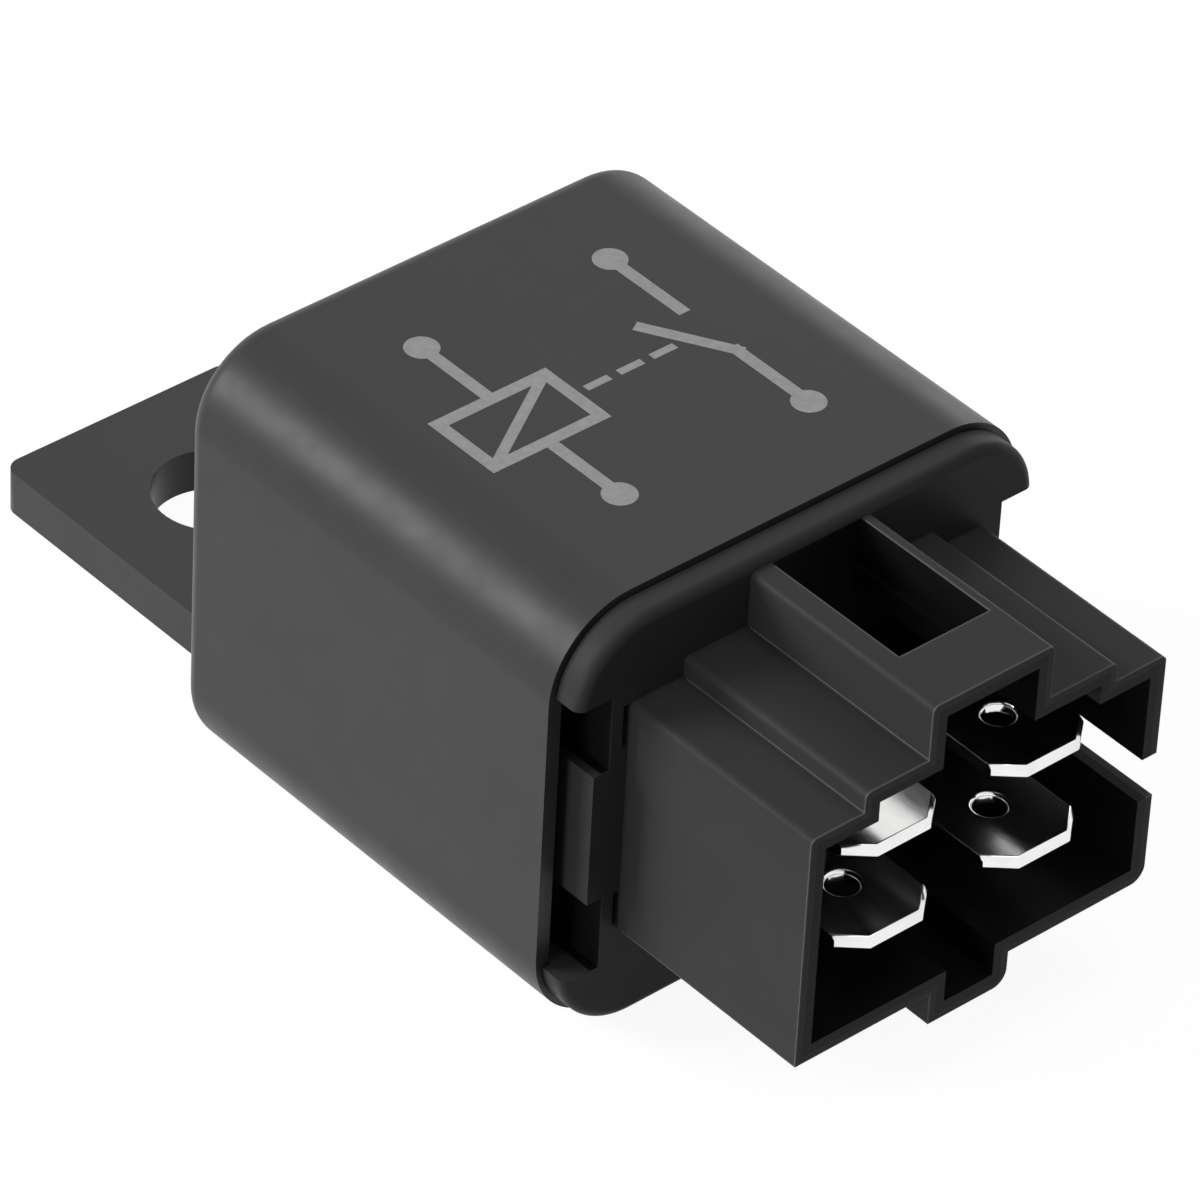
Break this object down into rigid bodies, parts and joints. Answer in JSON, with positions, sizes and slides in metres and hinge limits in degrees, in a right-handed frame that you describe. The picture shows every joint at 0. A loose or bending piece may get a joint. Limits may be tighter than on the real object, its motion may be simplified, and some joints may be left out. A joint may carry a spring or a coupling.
{
  "type": "automotive relay",
  "caption": "Plug-in automotive relay: a box-shaped cover with a mounting tab, and a base with flat blades inside a keyed plug socket.",
  "frame": {"origin": "middle of the bounding box, on the mounting face that the relay lies on", "axes": "+Z away from the mounting face, +Y from the plug socket towards the mounting tab, +X to the right seen from the plug socket with the mounting face down"},
  "size_m": [0.0312, 0.0664, 0.0264],
  "materials": {
    "black_plastic": "fine matte",
    "base_plastic": "fine matte",
    "tinned_brass": "bright tin plate",
    "zinc_plated_steel": "zinc plate",
    "bobbin_plastic": "natural",
    "enamelled_copper": "enamel",
    "spring_copper": "rolled",
    "silver_contact": "satin",
    "rivet_steel": "plain"
  },
  "bodies": {
    "housing": {"cover": "black_plastic", "base": "base_plastic", "terminal_30": "tinned_brass", "terminal_87": "tinned_brass", "terminal_85": "tinned_brass", "terminal_86": "tinned_brass", "yoke": "zinc_plated_steel", "core": "zinc_plated_steel", "bobbin": "bobbin_plastic", "coil_winding": "enamelled_copper", "coil_lead_85": "enamelled_copper", "coil_lead_86": "enamelled_copper", "fixed_contact": "silver_contact", "yoke_rivet_1": "rivet_steel", "yoke_rivet_2": "rivet_steel", "armature_stop": "zinc_plated_steel"},
    "armature": {"armature": "zinc_plated_steel", "contact_spring": "spring_copper", "moving_contact": "silver_contact", "armature_rivet_1": "rivet_steel", "armature_rivet_2": "rivet_steel"}
  },
  "joints": [
    {"name": "armature_hinge", "type": "hinge", "parent": "housing", "child": "armature", "pos_m": [-0.013, 0.00523, 0.0132], "axis": [0, 0, -1], "range_deg": [0, 3], "stiffness_Nm_per_rad": 0.1, "springref_deg": -5.73, "deforming": ["contact_spring"]}
  ]
}
